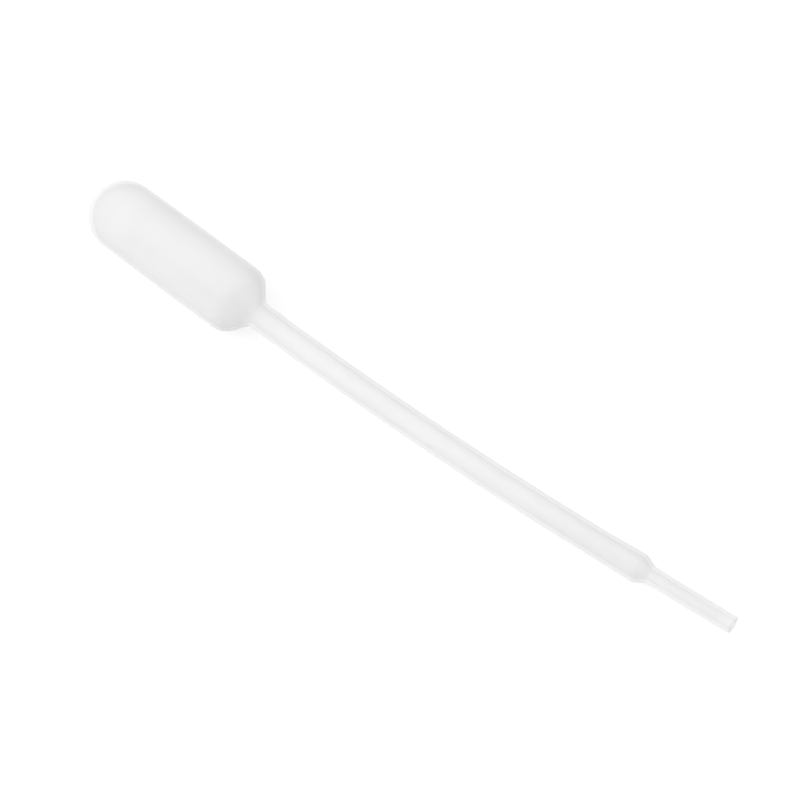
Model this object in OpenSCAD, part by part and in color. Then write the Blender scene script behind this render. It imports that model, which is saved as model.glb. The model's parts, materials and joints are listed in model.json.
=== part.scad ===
// Plastic dropper pipette: a soft squeeze bulb, a slender stem and a stepped-down tip, blown in
// one piece of low-density polyethylene with a thin wall all round and an open tip.
// It lies on its side with its tip along +X, as it would on a bench: it touches the bench
// at the bulb's front shoulder and at the swell above the tip, with its tip just clear.
// The origin is on the bench, under the middle of the pipette. Millimetres, +Z up.

/* [Length] */
// Length along the centre line, from the domed end to the open tip
total_len = 150; // [130:1:170]

/* [Bulb] */
// Outside diameter of the squeeze bulb
bulb_d = 13.9; // [12:0.1:16]
// Length of the bulb, from its domed end to where its neck meets the stem
bulb_len = 41.8; // [35:0.1:50]
// Rounding of the bulb's front shoulder
shoulder_round = 4; // [2.5:0.1:4.5]
// Slope of the neck between shoulder and stem, in degrees from the centre line
neck_slope = 48; // [40:1:55]
// Radius of the hollow where the neck runs into the stem
neck_hollow = 2; // [1:0.1:2.5]

/* [Stem] */
// Outside diameter of the stem
stem_d = 5.3; // [4.6:0.1:5.5]
// How far the middle of the stem stands out of line towards -Y, as a blown tube warps when it cools
stem_bow = 0.9; // [0:0.1:2]

/* [Tip] */
// Outside diameter of the thin tip
tip_d = 3.3; // [2.8:0.1:3.8]
// Bore of the thin tip
tip_bore = 2.1; // [1.4:0.1:2.2]
// Length from the open end to the widest point of the swell
tip_len = 20.2; // [16:0.1:28]
// Outside diameter of the swell, where the stem steps down to the tip
swell_d = 5.7; // [5.6:0.1:6.4]
// Length over which the stem eases out to the swell
swell_len = 8; // [4:0.5:12]
// Slope of the step, in degrees from the centre line
step_slope = 28; // [20:1:40]
// Rounding of the step's edge
step_round = 1; // [0.8:0.1:1.2]
// Radius of the hollow where the step runs into the tip
step_hollow = 1.4; // [0.5:0.1:2]

/* [Walls] */
// Wall of the bulb's sides
bulb_wall = 0.45; // [0.35:0.05:0.7]
// Wall at the top of the dome, thicker where the blown tube was pinched shut
dome_wall = 0.7; // [0.5:0.05:0.9]
// Wall of the neck, the stem and the swell
stem_wall = 0.6; // [0.45:0.05:0.75]

/* [Mould marks] */
// Width of the line that the two mould halves leave along both sides
seam_w = 0.24; // [0.15:0.01:0.4]
// How far that line stands proud
seam_h = 0.06; // [0.03:0.01:0.09]
// Width of the pinch mark across the top of the dome
pinch_w = 0.5; // [0.4:0.05:0.8]
// Length of the pinch mark
pinch_len = 6; // [3:0.5:8]
// How far the pinch mark stands proud
pinch_h = 0.12; // [0.1:0.01:0.2]

/* [Hidden] */

bulb_r = bulb_d / 2;
stem_r = stem_d / 2;
swell_r = swell_d / 2;
tip_r = tip_d / 2;
tip_wall = (tip_d - tip_bore) / 2;

// Length of a neck from radius r to radius big_r: a hollow arc, a cone and a rounded edge
function neck_len(big_r, r, edge, hollow, slope) =
    (edge + hollow) * sin(slope) + (big_r - r - (edge + hollow) * (1 - cos(slope))) / tan(slope);

shoulder_at = neck_len(bulb_r, stem_r, shoulder_round, neck_hollow, neck_slope);
step_len = neck_len(swell_r, tip_r, step_round, step_hollow, step_slope);
stem_len = total_len - bulb_len - tip_len - swell_len;
end_len = tip_len + swell_len;

// The stem runs this far into the neck and the swell, which start a hair wider than it, so that
// their surfaces meet squarely
lap = 0.3;
ledge = 0.02;

// The stem is a shallow arc in plan: its whole turn in degrees, and its radius
turn = 8 * stem_bow / stem_len * 180 / PI;
arc_r = stem_bow > 0 ? stem_len / (turn * PI / 180) : 0;
rod_len = stem_len + 2 * lap;
rod_turn = turn * rod_len / stem_len;

// A point of the centre line in plan, at a distance beyond the tip end (side 1) or the bulb end
// (side -1) of the stem. The middle of the stem is at [0, 0].
function beyond(side, distance) = stem_bow > 0
    ? [side * (arc_r * sin(turn / 2) + distance * cos(turn / 2)),
       arc_r * (1 - cos(turn / 2)) + distance * sin(turn / 2)]
    : [side * (stem_len / 2 + distance), 0];

// The nose-down tilt at rest: the bench touches the shoulder's and the swell's rounded edges
shoulder = beyond(-1, shoulder_at);
swell = beyond(1, swell_len);
run = swell.x - shoulder.x;
drop = (bulb_r - shoulder_round) - (swell_r - step_round);
tilt = atan2(drop, run) + asin((shoulder_round - step_round) / norm([run, drop]));
lift = shoulder.x * sin(tilt) + (bulb_r - shoulder_round) * cos(tilt) + shoulder_round;

// The middle of the outline in plan
dome = beyond(-1, bulb_len - bulb_r);
tip = beyond(1, end_len);
back_x = dome.x * cos(tilt) - bulb_r - pinch_h;
front_x = tip.x * cos(tilt) + tip_r * sqrt(1 - pow(cos(tilt) * cos(turn / 2), 2));
near_y = shoulder.y - (bulb_r - shoulder_round) * cos(turn / 2) - shoulder_round - seam_h;
far_y = max(dome.y + bulb_r, tip.y + tip_r) + seam_h;
middle = [(back_x + front_x) / 2, (near_y + far_y) / 2];

// A quarter of a disc, on the sides of x and y that towards gives as 1 or -1
module quarter_disc(r, towards) intersection() {
    circle(r, $fn = 128);
    translate([min(towards.x, 0) * r, min(towards.y, 0) * r]) square(r);
}

// Half-section that widens from radius r at foot to radius big_r by a hollow arc, a cone and a
// rounded edge. The points in lower come before that stretch and those in upper after it.
module stepped_section(r, big_r, edge, hollow, slope, foot, lower, upper) {
    head = foot + neck_len(big_r, r, edge, hollow, slope);
    foot_arc = [r + hollow * (1 - cos(slope)), foot + hollow * sin(slope)];
    head_arc = [big_r - edge * (1 - cos(slope)), head - edge * sin(slope)];
    neck = [[r, foot], foot_arc, head_arc, [big_r - edge, head], [big_r, head]];
    difference() {
        polygon(concat(lower, neck, upper));
        translate([r + hollow, foot]) quarter_disc(hollow, [-1, 1]);
    }
    translate([big_r - edge, head]) quarter_disc(edge, [1, -1]);
}

// Half-section of the bulb from its neck at y = 0 to the top of its dome, set in from the
// outside by the walls given
module bulb_section(side_wall, top_wall, neck_wall) {
    r = bulb_r - side_wall;
    dome_at = bulb_len - top_wall - r;
    stepped_section(
        stem_r + ledge - neck_wall, r, shoulder_round - side_wall, neck_hollow + neck_wall, neck_slope,
        foot = 0, lower = [[0, 0]], upper = [[r, dome_at], [0, dome_at]]);
    translate([0, dome_at]) quarter_disc(r, [1, 1]);
}

// Half-section of the tip from its open end at y = 0 to the end of the swell, set in from the
// outside by the walls given and run past the open end
module tip_section(thin_wall, thick_wall, past) {
    r = tip_r - thin_wall;
    stepped_section(
        r, swell_r - thick_wall, step_round - thick_wall, step_hollow + thin_wall, step_slope,
        foot = tip_len - step_len, lower = [[0, -past], [r, -past]],
        upper = [[stem_r + ledge - thick_wall, end_len], [0, end_len]]);
}

// Turns a half-section about the centre line, with its head towards -X
module turned() rotate([0, -90, 0]) rotate_extrude($fn = 96) children();

// Carries its children from the middle of the stem to its tip end (1) or its bulb end (-1)
module at_end(side) {
    if (stem_bow > 0)
        translate([0, arc_r, 0]) rotate([0, 0, side * turn / 2]) translate([0, -arc_r, 0]) children();
    else
        translate([side * stem_len / 2, 0, 0]) children();
}

// Sweeps a section along the bowed stem, a lap further than the stem at either end
module along_stem() {
    if (stem_bow > 0)
        translate([0, arc_r, 0]) rotate([0, 0, -90 - rod_turn / 2])
            rotate_extrude(angle = rod_turn, $fn = 720) translate([arc_r, 0]) children();
    else
        rotate([90, 0, 90]) linear_extrude(rod_len, center = true) children();
}

// The whole pipette as a solid, set in from its outside by the walls given
module form(side_wall = 0, top_wall = 0, neck_wall = 0, thin_wall = 0, past = 0) {
    at_end(-1) turned() bulb_section(side_wall, top_wall, neck_wall);
    along_stem() circle(stem_r - neck_wall, $fn = 96);
    at_end(1) translate([end_len, 0, 0]) turned() tip_section(thin_wall, neck_wall, past);
}

// Lays a half-section flat, on both sides of the centre line, with its head towards -X
module flat() for (side = [0, 1]) mirror([0, side]) rotate(90) children();

// The line left by the two mould halves, along both sides and over the dome
module seam() {
    at_end(-1) linear_extrude(seam_w, center = true)
        flat() bulb_section(-seam_h, -seam_h, -seam_h);
    along_stem() square([stem_d + 2 * seam_h, seam_w], center = true);
    at_end(1) translate([end_len, 0, 0]) linear_extrude(seam_w, center = true)
        flat() tip_section(-seam_h, -seam_h, 0);
}

// The flattened line across the dome where the mould pinched the tube shut
module pinch_mark() at_end(-1) translate([bulb_r - bulb_len, 0, 0]) intersection() {
    sphere(bulb_r + pinch_h, $fn = 128);
    translate([-bulb_r, 0, 0]) cube([bulb_r, pinch_len, pinch_w], center = true);
}

// Lays the pipette on the bench
module laid() translate([-middle.x, -middle.y, lift]) rotate([0, tilt, 0]) children();

module pipette() color([0.93, 0.93, 0.93, 0.75]) laid() difference() {
    union() {
        form();
        seam();
        pinch_mark();
    }
    form(bulb_wall, dome_wall, stem_wall, tip_wall, past = 1);
}

pipette();
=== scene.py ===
"""Dropper pipette: the milky, one-piece squeeze pipette and the pale studio it is shown in.

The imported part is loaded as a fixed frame. The pipette is moulded again here as a fine mesh with
its blown wall, mould line, pinch mark and cut tip, and it is dressed in soft translucent plastic.
The panel "Pipette" in the 3D view's sidebar holds its sizes, its plastic and the studio.
"""

import json
import math

import bmesh
import bpy
from bpy.props import FloatProperty, FloatVectorProperty, IntProperty, PointerProperty
from bpy.types import Operator, Panel, PropertyGroup
from mathutils import Matrix, Vector, noise


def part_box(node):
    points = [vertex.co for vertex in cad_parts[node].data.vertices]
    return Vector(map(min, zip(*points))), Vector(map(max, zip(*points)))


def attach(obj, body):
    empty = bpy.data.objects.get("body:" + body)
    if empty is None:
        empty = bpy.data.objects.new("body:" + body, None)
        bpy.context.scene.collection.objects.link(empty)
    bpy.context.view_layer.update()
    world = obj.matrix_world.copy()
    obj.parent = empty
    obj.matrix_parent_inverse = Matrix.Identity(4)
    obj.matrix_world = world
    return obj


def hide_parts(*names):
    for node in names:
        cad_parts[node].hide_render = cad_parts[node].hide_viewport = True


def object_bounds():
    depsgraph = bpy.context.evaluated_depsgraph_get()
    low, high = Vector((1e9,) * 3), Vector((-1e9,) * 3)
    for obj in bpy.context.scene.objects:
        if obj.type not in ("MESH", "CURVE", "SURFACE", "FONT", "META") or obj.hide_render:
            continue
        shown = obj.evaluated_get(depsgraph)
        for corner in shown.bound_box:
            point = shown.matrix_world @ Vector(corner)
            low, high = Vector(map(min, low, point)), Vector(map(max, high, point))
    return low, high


bl_info = {
    "name": "Dropper Pipette",
    "version": (1, 0, 0),
    "blender": (4, 5, 0),
    "location": "3D View > Sidebar > Pipette",
    "description": "Moulds a one-piece squeeze pipette in milky plastic and sets up its studio",
    "category": "Add Mesh",
}

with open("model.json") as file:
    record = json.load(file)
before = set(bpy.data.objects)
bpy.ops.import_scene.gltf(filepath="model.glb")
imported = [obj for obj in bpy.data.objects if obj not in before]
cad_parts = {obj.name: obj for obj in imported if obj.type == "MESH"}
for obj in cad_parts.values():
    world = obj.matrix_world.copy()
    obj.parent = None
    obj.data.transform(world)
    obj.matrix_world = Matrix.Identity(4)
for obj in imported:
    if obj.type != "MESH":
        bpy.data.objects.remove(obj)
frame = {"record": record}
PACKED_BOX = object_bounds()
NODE = "pipette"
MM = 0.001
# Radii of the thin tip, outside and bore, from the part's own mounts
TIP = {mount["name"]: mount["dims"]["r_mm"] * MM for mount in frame["record"]["mounts"]}

# Steps of the mesh's rings over the dome, in each arc of a widening and round either half of the lip
DOME_STEPS = 48
ARC_STEPS = 10
LIP_STEPS = 4
# Places of the mesh's lines beside the mould line, in widths of that line
SEAM_STEPS = (-1.5, -0.8, -0.5, -0.25, 0.0, 0.25, 0.5, 0.8, 1.5)
# Where a ring is small, those lines stay within this angle of the mould line
SEAM_REACH = math.radians(25)
# A stem without any bow still turns by this angle, so that its arc has a radius
LEAST_TURN = 1e-9

# The share of the pinch mark's width that is its flat top, and the distances over which its sides
# and its ends fall away
PINCH_TOP = 0.5
PINCH_SIDE_EASE = 0.15 * MM
PINCH_END_EASE = 1 * MM

# Unevenness of the wall: how long its patches are outside and inside, how many times broad and
# fine swellings change over a patch, and how much the fine ones count
OUTER_PATCH = 9 * MM
INNER_PATCH = 14 * MM
BROAD_SWELLING = 1.1
FINE_SWELLING = 2.7
FINE_SHARE = 0.5
# The inside's pattern is turned from the outside's by this angle, and dies away over this
# distance before the open end, where the cut ring is even
INNER_TURN = 2.0
EVEN_END = 6 * MM

# The wall's clearness goes over from the bulb's to the stem's in this distance before the stem
NECK_BLEND = 8 * MM
# The wall of the very rim counts as met at this slant, where 1 is square on and 0 is edge on
STEEPEST_SLANT = 0.12
# The middle of each pattern's range, which is stretched from its least effect to its most
CLOUD_RANGE = (0.35, 0.65)
STREAK_RANGE = (0.3, 0.7)

# The floor is a round sheet, its radius in metres. It lies this far under the pipette, so that
# the two never touch
FLOOR_RADIUS = 4.0
FLOOR_SIDES = 96
FLOOR_GAP = 0.02 * MM
# Direction of the room's bright side, and how far towards it the brightening starts and ends
BRIGHT_SIDE = (0, -0.45, 0.9)
BRIGHTENING = (-0.4, 0.5)
# Place and size of each lamp, in metres
KEY_LAMP = ((-0.35, -0.35, 0.95), (0.7, 0.5))
STRIP_LAMP = ((0.0, -0.75, 0.45), (0.9, 0.06))
# Width of the camera's sensor, in millimetres
SENSOR_WIDTH = 36


# ---------------------------------------------------------------- sizes and colours

def length(name, description, default):
    """A size in metres that the sidebar shows in the scene's unit."""
    return FloatProperty(
        name=name, description=description, default=default, min=0.0, precision=5,
        subtype="DISTANCE", unit="LENGTH")


def angle(name, description, degrees):
    """An angle that the sidebar shows in degrees."""
    return FloatProperty(
        name=name, description=description, default=math.radians(degrees),
        subtype="ANGLE", unit="ROTATION")


def share(name, description, default):
    """A number from 0 to 1, shown as a slider."""
    return FloatProperty(
        name=name, description=description, default=default, min=0.0, max=1.0, subtype="FACTOR")


def amount(name, description, default):
    """A plain number, not below 0."""
    return FloatProperty(name=name, description=description, default=default, min=0.0)


def colour(name, description, default):
    """A colour in linear light."""
    return FloatVectorProperty(
        name=name, description=description, default=default, size=3, min=0.0, max=1.0,
        subtype="COLOR")


class PipetteShape(PropertyGroup):
    """The moulded body's sizes."""

    total_length: length("Total length", "Along the centre line, dome to open tip", 150 * MM)
    bulb_diameter: length("Bulb diameter", "Outside diameter of the squeeze bulb", 13.9 * MM)
    bulb_length: length("Bulb length", "From the dome to where the neck meets the stem", 41.8 * MM)
    shoulder_round: length("Shoulder rounding", "Radius of the bulb's front shoulder", 4 * MM)
    neck_slope: angle("Neck slope", "Slope of the neck from the centre line", 48)
    neck_hollow: length("Neck hollow", "Radius where the neck runs into the stem", 2 * MM)
    stem_diameter: length("Stem diameter", "Outside diameter of the stem", 5.3 * MM)
    stem_bow: length("Stem bow", "How far the middle of the stem stands out of line", 0.9 * MM)
    tip_diameter: length("Tip diameter", "Outside diameter of the thin tip", 2 * TIP["tip_outside"])
    tip_bore: length("Tip bore", "Bore of the thin tip", 2 * TIP["tip_bore"])
    tip_length: length("Tip length", "From the open end to the swell", 20.2 * MM)
    swell_diameter: length("Swell diameter", "Where the stem steps down to the tip", 5.7 * MM)
    swell_length: length("Swell length", "Over which the stem eases out to the swell", 8 * MM)
    step_slope: angle("Step slope", "Slope of the step from the centre line", 28)
    step_round: length("Step rounding", "Radius of the step's edge", 1 * MM)
    step_hollow: length("Step hollow", "Radius where the step runs into the tip", 1.4 * MM)
    bulb_wall: length("Bulb wall", "Wall of the bulb's sides", 0.45 * MM)
    dome_wall: length("Dome wall", "Wall at the top of the dome", 0.7 * MM)
    stem_wall: length("Stem wall", "Wall of the neck, the stem and the swell", 0.6 * MM)
    seam_width: length("Mould line width", "Width of the line between the mould halves", 0.24 * MM)
    seam_height: length("Mould line height", "How far that line stands proud", 0.06 * MM)
    pinch_width: length("Pinch mark width", "Width of the mark across the dome", 0.5 * MM)
    pinch_length: length("Pinch mark length", "Length of the mark across the dome", 6 * MM)
    pinch_height: length("Pinch mark height", "How far that mark stands proud", 0.12 * MM)
    lip_round: length("Lip rounding", "Softening of the cut edge at the open tip", 0.08 * MM)
    outer_wander: length("Outside wander", "Unevenness of the blown outside", 0.02 * MM)
    inner_wander: length("Inside wander", "Unevenness of the blown inside", 0.08 * MM)
    ring_step: length("Ring spacing", "Longest gap between the mesh's rings", 0.7 * MM)
    side_segments: IntProperty(
        name="Side segments", description="Faces round each half, between the mould lines",
        default=36, min=8, max=96)


class PipettePlastic(PropertyGroup):
    """The milky plastic."""

    milk: colour("Milk", "Where the wall is cloudiest", (0.98, 0.98, 0.98))
    haze: colour("Haze", "Where the wall is clearest", (0.957, 0.957, 0.957))
    bulb_clearness: share("Bulb clearness", "Light that goes straight through the bulb's wall", 0.5)
    stem_clearness: share("Stem clearness", "Light that goes straight through the stem's wall", 0.5)
    smooth: share("Smoothest", "Roughness where the skin is smoothest", 0.29)
    rough: share("Roughest", "Roughness where the skin is most satin", 0.42)
    gloss: share("Gloss", "Strength of the skin's reflections", 0.14)
    bending: amount("Refraction", "Refractive index of the plastic", 1.51)
    cloud_size: length("Cloud size", "Size of the cloudy patches in the wall", 9 * MM)
    streak_length: length("Streak length", "Length of the drawn streaks along the wall", 30 * MM)
    streak_width: length("Streak width", "Width of the drawn streaks", 1.5 * MM)
    relief: length("Relief", "Height of the streaks on the skin", 0.03 * MM)


class PipetteStudio(PropertyGroup):
    """Floor, light and camera."""

    azimuth: angle("Azimuth", "Direction of the camera round the pipette", 51.8)
    elevation: angle("Elevation", "Height of the camera above the floor", 63.2)
    roll: angle("Roll", "Turn of the camera about its line of sight", 15.6)
    distance: length("Distance", "From the camera to the pipette's middle", 610 * MM)
    lens: FloatProperty(
        name="Lens", description="Focal length", default=148, min=20, subtype="DISTANCE_CAMERA")
    floor: colour("Floor", "Colour of the floor", (0.62, 0.62, 0.62))
    floor_glow: share("Floor lift", "How much the floor is lifted towards white", 0.51)
    room_bright: amount("Bright side", "Brightness of the room overhead and in front", 1.04)
    room_dim: amount("Dim side", "Brightness of the room low down at the back", 0.9)
    key: amount("Key lamp", "Power of the large soft lamp, in watts", 2.0)
    strip: amount("Strip lamp", "Power of the long lamp in front, in watts", 0.5)


# ---------------------------------------------------------------- the moulded body

def spread(start, end, steps):
    """Evenly spaced values from start to end, both included."""
    return [start + (end - start) * step / steps for step in range(steps + 1)]


def widening_length(small, big, edge, hollow, slope):
    """Length of a widening from radius small to radius big."""
    rounded = (edge + hollow) * (1 - math.cos(slope))
    return (edge + hollow) * math.sin(slope) + (big - small - rounded) / math.tan(slope)


def widening(small, big, edge, hollow, slope):
    """Distances and radii from radius small to radius big: hollow arc, cone, rounded edge."""
    whole = widening_length(small, big, edge, hollow, slope)
    hollow_arc = [
        (hollow * math.sin(turn), small + hollow * (1 - math.cos(turn)))
        for turn in spread(0, slope, ARC_STEPS)]
    edge_arc = [
        (whole - edge * math.sin(turn), big - edge * (1 - math.cos(turn)))
        for turn in spread(slope, 0, ARC_STEPS)]
    return hollow_arc + edge_arc


def filled(points, gap):
    """The same points with more put in between, so that none is further than gap from the next."""
    full = [points[0]]
    for before, after in zip(points, points[1:]):
        parts = max(1, math.ceil(math.dist(before, after) / gap))
        full += [
            tuple(a + (b - a) * part / parts for a, b in zip(before, after))
            for part in range(1, parts + 1)]
    return full


class Body:
    """Where the pipette's walls run, worked out from its sizes.

    Distances along the centre line count from the middle of the stem, towards the tip.
    """

    def __init__(self, shape):
        self.shape = shape
        self.bulb_r = shape.bulb_diameter / 2
        self.stem_r = shape.stem_diameter / 2
        self.tip_r = shape.tip_diameter / 2
        self.swell_r = shape.swell_diameter / 2
        self.tip_wall = self.tip_r - shape.tip_bore / 2
        self.end_length = shape.tip_length + shape.swell_length
        self.stem_length = shape.total_length - shape.bulb_length - self.end_length
        # The turn of a shallow arc, from its rise in the middle
        turn = max(8 * shape.stem_bow / self.stem_length, LEAST_TURN)
        self.arc_radius = self.stem_length / turn
        self.dome_at = -self.stem_length / 2 - shape.bulb_length + self.bulb_r

    def place(self, along):
        """The centre line's point and heading in plan, at a distance along it."""
        half = self.stem_length / 2
        on_arc = max(-half, min(half, along))
        heading = on_arc / self.arc_radius
        x = self.arc_radius * math.sin(heading) + (along - on_arc) * math.cos(heading)
        y = self.arc_radius * (1 - math.cos(heading)) + (along - on_arc) * math.sin(heading)
        return x, y, heading

    def wall(self, side=0, top=0, neck=0, thin=0):
        """Distances and radii from the dome to the open end, set in by the walls given."""
        shape = self.shape
        bulb_r = self.bulb_r - side
        stem_r = self.stem_r - neck
        tip_r = self.tip_r - thin
        dome_foot = shape.bulb_length - top - bulb_r
        dome = [
            (dome_foot + bulb_r * math.cos(turn), bulb_r * math.sin(turn))
            for turn in spread(0, math.pi / 2, DOME_STEPS)]
        shoulder = widening(
            stem_r, bulb_r, shape.shoulder_round - side, shape.neck_hollow + neck,
            shape.neck_slope)
        bulb = dome + shoulder[::-1]
        step = widening(
            tip_r, self.swell_r - neck, shape.step_round - neck, shape.step_hollow + thin,
            shape.step_slope)
        step_foot = shape.tip_length - self.step_length()
        tip = [(self.end_length, stem_r)]
        tip += [(step_foot + ahead, radius) for ahead, radius in step[::-1]]
        tip += [(0.0, tip_r)]
        half = self.stem_length / 2
        back = [(-half - behind, radius) for behind, radius in bulb]
        front = [(half + self.end_length - ahead, radius) for ahead, radius in tip]
        return filled(back + front, shape.ring_step)

    def lip(self, end):
        """Distances and radii round the cut edge at the open end, from the outside to the bore."""
        rounding = self.shape.lip_round
        bore = self.tip_r - self.tip_wall
        quarter = [
            (end - rounding * (1 - math.sin(turn)), rounding * (1 - math.cos(turn)))
            for turn in spread(0, math.pi / 2, LIP_STEPS)]
        outer_half = [(along, self.tip_r - inset) for along, inset in quarter]
        inner_half = [(along, bore + inset) for along, inset in reversed(quarter)]
        return outer_half + inner_half

    def step_length(self):
        """Length of the step from the swell down to the thin tip."""
        shape = self.shape
        return widening_length(
            self.tip_r, self.swell_r, shape.step_round, shape.step_hollow, shape.step_slope)

    def tilt(self):
        """The nose-down tilt at rest, on the bulb's shoulder and the swell's edge."""
        shape = self.shape
        shoulder_at = widening_length(
            self.stem_r, self.bulb_r, shape.shoulder_round, shape.neck_hollow, shape.neck_slope)
        rear = self.place(-self.stem_length / 2 - shoulder_at)
        front = self.place(self.stem_length / 2 + shape.swell_length)
        run = front[0] - rear[0]
        drop = (self.bulb_r - shape.shoulder_round) - (self.swell_r - shape.step_round)
        lean = math.asin((shape.shoulder_round - shape.step_round) / math.hypot(run, drop))
        return math.atan2(drop, run) + lean


def ring_angles(shape, radius):
    """Angles round a ring, close together at the mould line on both of its sides."""
    seam = min(shape.seam_width / radius, SEAM_REACH / SEAM_STEPS[-1])
    beside = [step * seam for step in SEAM_STEPS]
    between = spread(beside[-1], math.pi + beside[0], shape.side_segments)[1:-1]
    half = beside + between
    return half + [math.pi + turn for turn in half]


def bump(offset, width):
    """A soft rise from 0 at half a width either side to 1 in the middle."""
    if abs(offset) >= width / 2:
        return 0.0
    return math.cos(math.pi * offset / width) ** 2


def plateau(offset, width, ease):
    """1 across a width, easing down to 0 over the distance ease beyond it."""
    beyond = (abs(offset) - width / 2) / ease
    return 1.0 - min(1.0, max(0.0, beyond))


def wander(along, turn, patch):
    """Slow unevenness of a blown wall, from about -1 to 1."""
    place = Vector((math.cos(turn), math.sin(turn), along / patch))
    broad = noise.noise(place * BROAD_SWELLING)
    return broad + FINE_SHARE * noise.noise(place * FINE_SWELLING)


def pinch_rise(shape, aside, across):
    """Height of the pinch mark at a place so far aside and across from the top of the dome."""
    lengthwise = plateau(aside, shape.pinch_length - PINCH_END_EASE, PINCH_END_EASE)
    crosswise = plateau(across, shape.pinch_width * PINCH_TOP, PINCH_SIDE_EASE)
    return shape.pinch_height * lengthwise * crosswise


def outside_rise(body, along, radius, turn):
    """How far the outside stands proud of its plain radius: mould line, pinch mark, wander.

    The wander is counted inwards, so that the body stays within its box.
    """
    shape = body.shape
    aside = radius * math.cos(turn)
    across = radius * math.sin(turn)
    line = shape.seam_height * bump(across, shape.seam_width)
    pinch = pinch_rise(shape, aside, across) if along < body.dome_at else 0.0
    return max(line, pinch) + shape.outer_wander * (wander(along, turn, OUTER_PATCH) - 1.0) / 2


def inside_rise(body, along, turn, end):
    """How far the inside wanders from its plain radius. It is even at the open end."""
    fade = min(1.0, (end - along) / EVEN_END)
    return body.shape.inner_wander * fade * wander(along, turn + INNER_TURN, INNER_PATCH)


def add_ring(mesh, body, along, radius, rises=None):
    """One ring of vertices round the centre line, each lifted by its own rise if it has one."""
    turns = ring_angles(body.shape, radius)
    x, y, heading = body.place(along)
    side = Vector((-math.sin(heading), math.cos(heading), 0))
    up = Vector((0, 0, 1))
    ring = []
    for turn, rise in zip(turns, rises or [0.0] * len(turns)):
        out = side * math.cos(turn) + up * math.sin(turn)
        ring.append(mesh.verts.new(Vector((x, y, 0)) + out * (radius + rise)))
    return ring


def join_rings(mesh, rings):
    """Quads between each ring and the next. A ring of one vertex is a pole."""
    for first, second in zip(rings, rings[1:]):
        count = max(len(first), len(second))
        for here in range(count):
            there = (here + 1) % count
            corners = [
                first[here % len(first)], first[there % len(first)],
                second[there % len(second)], second[here % len(second)]]
            mesh.faces.new(list(dict.fromkeys(corners)))


def body_rings(mesh, body):
    """Every ring of the body: the outside from the dome to the tip, the lip, the inside back."""
    shape = body.shape
    outside = body.wall()
    inside = body.wall(shape.bulb_wall, shape.dome_wall, shape.stem_wall, body.tip_wall)
    end = outside[-1][0]
    rings = []
    for along, radius in outside[1:-1]:
        rises = [outside_rise(body, along, radius, turn) for turn in ring_angles(shape, radius)]
        rings.append(add_ring(mesh, body, along, radius, rises))
    for along, radius in body.lip(end):
        rings.append(add_ring(mesh, body, along, radius))
    for along, radius in inside[-2:0:-1]:
        rises = [inside_rise(body, along, turn, end) for turn in ring_angles(shape, radius)]
        rings.append(add_ring(mesh, body, along, radius, rises))
    outer_pole, inner_pole = [
        mesh.verts.new((*body.place(wall[0][0])[:2], 0)) for wall in (outside, inside)]
    return [[outer_pole]] + rings + [[inner_pole]]


def lay_down(mesh, body):
    """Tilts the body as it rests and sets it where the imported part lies."""
    bmesh.ops.transform(mesh, matrix=Matrix.Rotation(body.tilt(), 4, "Y"), verts=mesh.verts)
    low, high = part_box(NODE)
    xs, ys, zs = zip(*(vertex.co for vertex in mesh.verts))
    shift = Vector((
        (low.x + high.x - min(xs) - max(xs)) / 2,
        (low.y + high.y - min(ys) - max(ys)) / 2,
        low.z - min(zs)))
    bmesh.ops.translate(mesh, vec=shift, verts=mesh.verts)


def mould_mesh(name, shape):
    """The whole body as one closed mesh with smooth faces."""
    body = Body(shape)
    mesh = bmesh.new()
    join_rings(mesh, body_rings(mesh, body))
    bmesh.ops.recalc_face_normals(mesh, faces=mesh.faces)
    lay_down(mesh, body)
    for face in mesh.faces:
        face.smooth = True
    data = bpy.data.meshes.new(name)
    mesh.to_mesh(data)
    mesh.free()
    return data


# ---------------------------------------------------------------- the plastic

class Nodes:
    """Puts nodes in a tree, with their inputs given by name or as links."""

    def __init__(self, tree):
        self.tree = tree
        tree.nodes.clear()

    def add(self, kind, inputs=None, **settings):
        """A new node. An input that is a socket is linked and any other value is set."""
        node = self.tree.nodes.new(kind)
        for name, value in settings.items():
            setattr(node, name, value)
        for name, value in (inputs or {}).items():
            if isinstance(value, bpy.types.NodeSocket):
                self.tree.links.new(value, node.inputs[name])
            else:
                node.inputs[name].default_value = value
        return node


def along_and_across(nodes, long, wide):
    """The piece's own coordinates, scaled so that a pattern is long by wide in size."""
    place = nodes.add("ShaderNodeTexCoord").outputs["Object"]
    scale = (1 / long, 1 / wide, 1 / wide)
    return nodes.add("ShaderNodeMapping", {"Vector": place, "Scale": scale}).outputs["Vector"]


def maths(nodes, operation, first, second):
    """The result of one operation on two sockets or numbers."""
    return nodes.add("ShaderNodeMath", {0: first, 1: second}, operation=operation).outputs[0]


def straight_through(nodes, shape, look):
    """The share of light that a wall lets straight through: less where it is met at a slant.

    Each wall has two faces, and only the one whose front is met counts.
    """
    place = nodes.add("ShaderNodeTexCoord").outputs["Object"]
    along = nodes.add("ShaderNodeSeparateXYZ", {"Vector": place}).outputs["X"]
    neck = PACKED_BOX[0].x + shape.bulb_length
    square_on = nodes.add("ShaderNodeMapRange", {
        "Value": along, "From Min": neck - NECK_BLEND, "From Max": neck,
        "To Min": look.bulb_clearness, "To Max": look.stem_clearness}).outputs["Result"]
    facing = nodes.add("ShaderNodeLayerWeight", {"Blend": 0.5}).outputs["Facing"]
    slant = maths(nodes, "MAXIMUM", maths(nodes, "SUBTRACT", 1.0, facing), STEEPEST_SLANT)
    slanted = maths(nodes, "POWER", square_on, maths(nodes, "DIVIDE", 1.0, slant))
    back = nodes.add("ShaderNodeNewGeometry").outputs["Backfacing"]
    return maths(nodes, "MAXIMUM", slanted, back)


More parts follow.
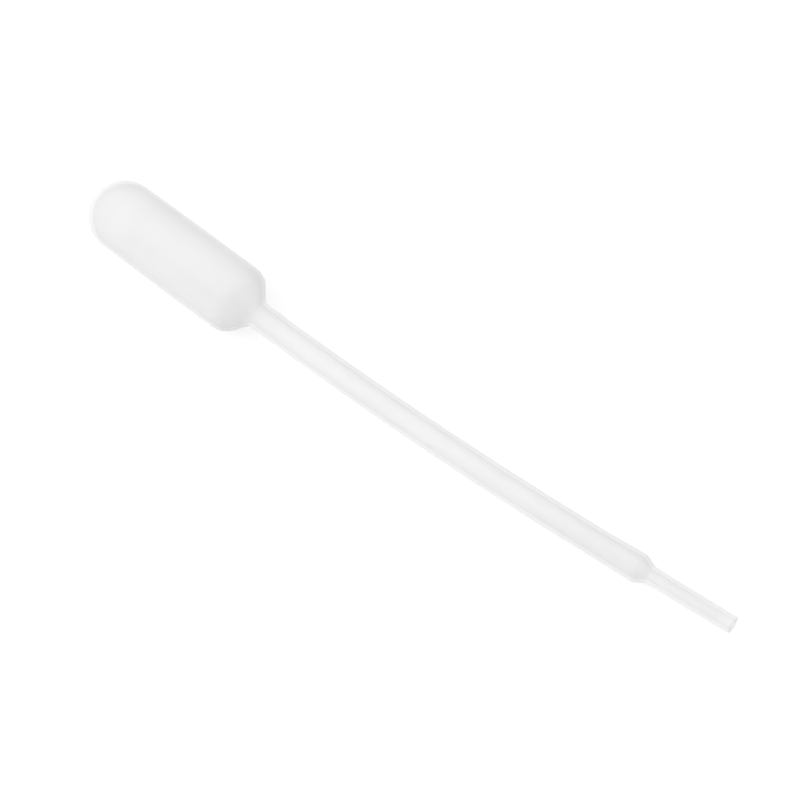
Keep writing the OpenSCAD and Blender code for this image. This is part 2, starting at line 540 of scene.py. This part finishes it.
def milky_plastic(shape, look):
    """Soft polyethylene: cloudy in patches, drawn into faint streaks, with a satin skin."""
    material = bpy.data.materials.new("milky_plastic")
    material.use_nodes = True
    nodes = Nodes(material.node_tree)
    patches = along_and_across(nodes, look.cloud_size, look.cloud_size)
    clouds = nodes.add("ShaderNodeTexNoise", {"Vector": patches, "Scale": 1.0, "Detail": 3.0})
    lines = along_and_across(nodes, look.streak_length, look.streak_width)
    streaks = nodes.add("ShaderNodeTexNoise", {"Vector": lines, "Scale": 1.0, "Detail": 2.0})
    cloudiness = nodes.add("ShaderNodeMapRange", {
        "Value": clouds.outputs["Fac"], "From Min": CLOUD_RANGE[0], "From Max": CLOUD_RANGE[1]})
    tone = nodes.add("ShaderNodeMix", {
        "Factor": cloudiness.outputs["Result"], "A": (*look.haze, 1), "B": (*look.milk, 1)},
        data_type="RGBA")
    skin = nodes.add("ShaderNodeMapRange", {
        "Value": streaks.outputs["Fac"], "From Min": STREAK_RANGE[0], "From Max": STREAK_RANGE[1],
        "To Min": look.smooth, "To Max": look.rough})
    relief = nodes.add("ShaderNodeBump", {
        "Height": streaks.outputs["Fac"], "Distance": look.relief, "Strength": 1.0})
    plastic = nodes.add("ShaderNodeBsdfPrincipled", {
        "Base Color": tone.outputs["Result"], "Roughness": skin.outputs["Result"],
        "Normal": relief.outputs["Normal"], "IOR": look.bending,
        "Specular IOR Level": look.gloss})
    behind = nodes.add("ShaderNodeBsdfTransparent")
    wall = nodes.add("ShaderNodeMixShader", {
        0: straight_through(nodes, shape, look), 1: plastic.outputs["BSDF"],
        2: behind.outputs["BSDF"]})
    nodes.add("ShaderNodeOutputMaterial", {"Surface": wall.outputs["Shader"]})
    return material


# ---------------------------------------------------------------- the studio

def seen_directly(nodes):
    """1 for rays of the camera, of mirror images and through clear plastic, 0 for other light."""
    path = nodes.add("ShaderNodeLightPath").outputs
    seen_or_mirrored = maths(nodes, "MAXIMUM", path["Is Camera Ray"], path["Is Glossy Ray"])
    return maths(nodes, "MAXIMUM", seen_or_mirrored, path["Is Transmission Ray"])


def floor_material(studio):
    """Pale floor that takes the pipette's shadow and is lifted to white where it is seen."""
    material = bpy.data.materials.new("pale_floor")
    material.use_nodes = True
    nodes = Nodes(material.node_tree)
    matt = nodes.add("ShaderNodeBsdfDiffuse", {"Color": (*studio.floor, 1)})
    glow = maths(nodes, "MULTIPLY", seen_directly(nodes), studio.floor_glow)
    lift = nodes.add("ShaderNodeEmission", {"Strength": glow})
    both = nodes.add(
        "ShaderNodeAddShader", {0: matt.outputs["BSDF"], 1: lift.outputs["Emission"]})
    nodes.add("ShaderNodeOutputMaterial", {"Surface": both.outputs["Shader"]})
    return material


def lay_floor(studio):
    """A wide round floor just under the pipette."""
    mesh = bmesh.new()
    bmesh.ops.create_circle(mesh, cap_ends=True, segments=FLOOR_SIDES, radius=FLOOR_RADIUS)
    data = bpy.data.meshes.new("floor")
    mesh.to_mesh(data)
    mesh.free()
    data.materials.append(floor_material(studio))
    floor = bpy.data.objects.new("floor", data)
    floor.location.z = PACKED_BOX[0].z - FLOOR_GAP
    bpy.context.scene.collection.objects.link(floor)


def light_room(studio):
    """A pale room, brightest overhead and in front, that looks white where it is seen directly."""
    world = bpy.data.worlds.new("pale_room")
    world.use_nodes = True
    nodes = Nodes(world.node_tree)
    toward = nodes.add("ShaderNodeTexCoord").outputs["Generated"]
    brightness = nodes.add(
        "ShaderNodeVectorMath", {0: toward, 1: BRIGHT_SIDE}, operation="DOT_PRODUCT")
    level = nodes.add("ShaderNodeMapRange", {
        "Value": brightness.outputs["Value"],
        "From Min": BRIGHTENING[0], "From Max": BRIGHTENING[1],
        "To Min": studio.room_dim, "To Max": studio.room_bright}, interpolation_type="SMOOTHSTEP")
    strength = nodes.add("ShaderNodeMix", {
        "Factor": seen_directly(nodes), "A": level.outputs["Result"], "B": 1.0}, data_type="FLOAT")
    room = nodes.add("ShaderNodeBackground", {"Strength": strength.outputs["Result"]})
    nodes.add("ShaderNodeOutputWorld", {"Surface": room.outputs["Background"]})
    bpy.context.scene.world = world


def hang_lamp(name, power, place, size):
    """A rectangular soft lamp that faces the pipette."""
    data = bpy.data.lights.new(name, "AREA")
    data.shape = "RECTANGLE"
    data.energy = power
    data.size, data.size_y = size
    lamp = bpy.data.objects.new(name, data)
    lamp.location = place
    lamp.rotation_mode = "QUATERNION"
    lamp.rotation_quaternion = (-Vector(place)).to_track_quat("-Z", "Y")
    bpy.context.scene.collection.objects.link(lamp)


def set_camera(studio):
    """A long lens that looks down on the middle of the pipette."""
    data = bpy.data.cameras.new("camera")
    data.lens = studio.lens
    data.sensor_width = SENSOR_WIDTH
    camera = bpy.data.objects.new("camera", data)
    low, high = PACKED_BOX
    level = math.cos(studio.elevation)
    back = Vector((
        math.sin(studio.azimuth) * level,
        -math.cos(studio.azimuth) * level,
        math.sin(studio.elevation)))
    aim = (-back).to_track_quat("-Z", "Y").to_matrix().to_4x4()
    place = Matrix.Translation((low + high) / 2 + back * studio.distance)
    camera.matrix_world = place @ aim @ Matrix.Rotation(-studio.roll, 4, "Z")
    bpy.context.scene.collection.objects.link(camera)
    bpy.context.scene.camera = camera


# ---------------------------------------------------------------- operators and panel

class DROPPER_OT_mould_body(Operator):
    """Mould the pipette's body and dress it in milky plastic"""

    bl_idname = "dropper.mould_body"
    bl_label = "Mould Body"

    def execute(self, context):
        scene = context.scene
        shape = scene.pipette_shape
        piece = bpy.data.objects.new("pipette_body", mould_mesh("pipette_body", shape))
        piece.data.materials.append(milky_plastic(shape, scene.pipette_plastic))
        scene.collection.objects.link(piece)
        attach(piece, "root")
        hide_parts(NODE)
        return {"FINISHED"}


class DROPPER_OT_set_stage(Operator):
    """Lay the pale floor, light the room and place the camera"""

    bl_idname = "dropper.set_stage"
    bl_label = "Set Stage"

    def execute(self, context):
        studio = context.scene.pipette_studio
        context.scene.view_settings.view_transform = "Standard"
        lay_floor(studio)
        light_room(studio)
        hang_lamp("key_lamp", studio.key, *KEY_LAMP)
        hang_lamp("strip_lamp", studio.strip, *STRIP_LAMP)
        set_camera(studio)
        return {"FINISHED"}


class DROPPER_PT_sidebar(Panel):
    """The pipette's sizes, plastic and studio"""

    bl_label = "Pipette"
    bl_space_type = "VIEW_3D"
    bl_region_type = "UI"
    bl_category = "Pipette"

    def draw(self, context):
        layout = self.layout
        scene = context.scene
        for heading, settings, operator in (
                ("Shape", scene.pipette_shape, None),
                ("Plastic", scene.pipette_plastic, DROPPER_OT_mould_body.bl_idname),
                ("Studio", scene.pipette_studio, DROPPER_OT_set_stage.bl_idname)):
            box = layout.box()
            box.label(text=heading)
            for name in settings.__annotations__:
                box.prop(settings, name)
            if operator:
                box.operator(operator)


CLASSES = (
    PipetteShape, PipettePlastic, PipetteStudio,
    DROPPER_OT_mould_body, DROPPER_OT_set_stage, DROPPER_PT_sidebar)


def register():
    """Makes the settings, the operators and the panel known to Blender."""
    for one in CLASSES:
        bpy.utils.register_class(one)
    bpy.types.Scene.pipette_shape = PointerProperty(type=PipetteShape)
    bpy.types.Scene.pipette_plastic = PointerProperty(type=PipettePlastic)
    bpy.types.Scene.pipette_studio = PointerProperty(type=PipetteStudio)


def unregister():
    """Takes them away again."""
    del bpy.types.Scene.pipette_studio
    del bpy.types.Scene.pipette_plastic
    del bpy.types.Scene.pipette_shape
    for one in reversed(CLASSES):
        bpy.utils.unregister_class(one)


def main():
    """Builds the pipette and its studio."""
    register()
    bpy.ops.dropper.mould_body()
    bpy.ops.dropper.set_stage()


if __name__ == "__main__":
    main()
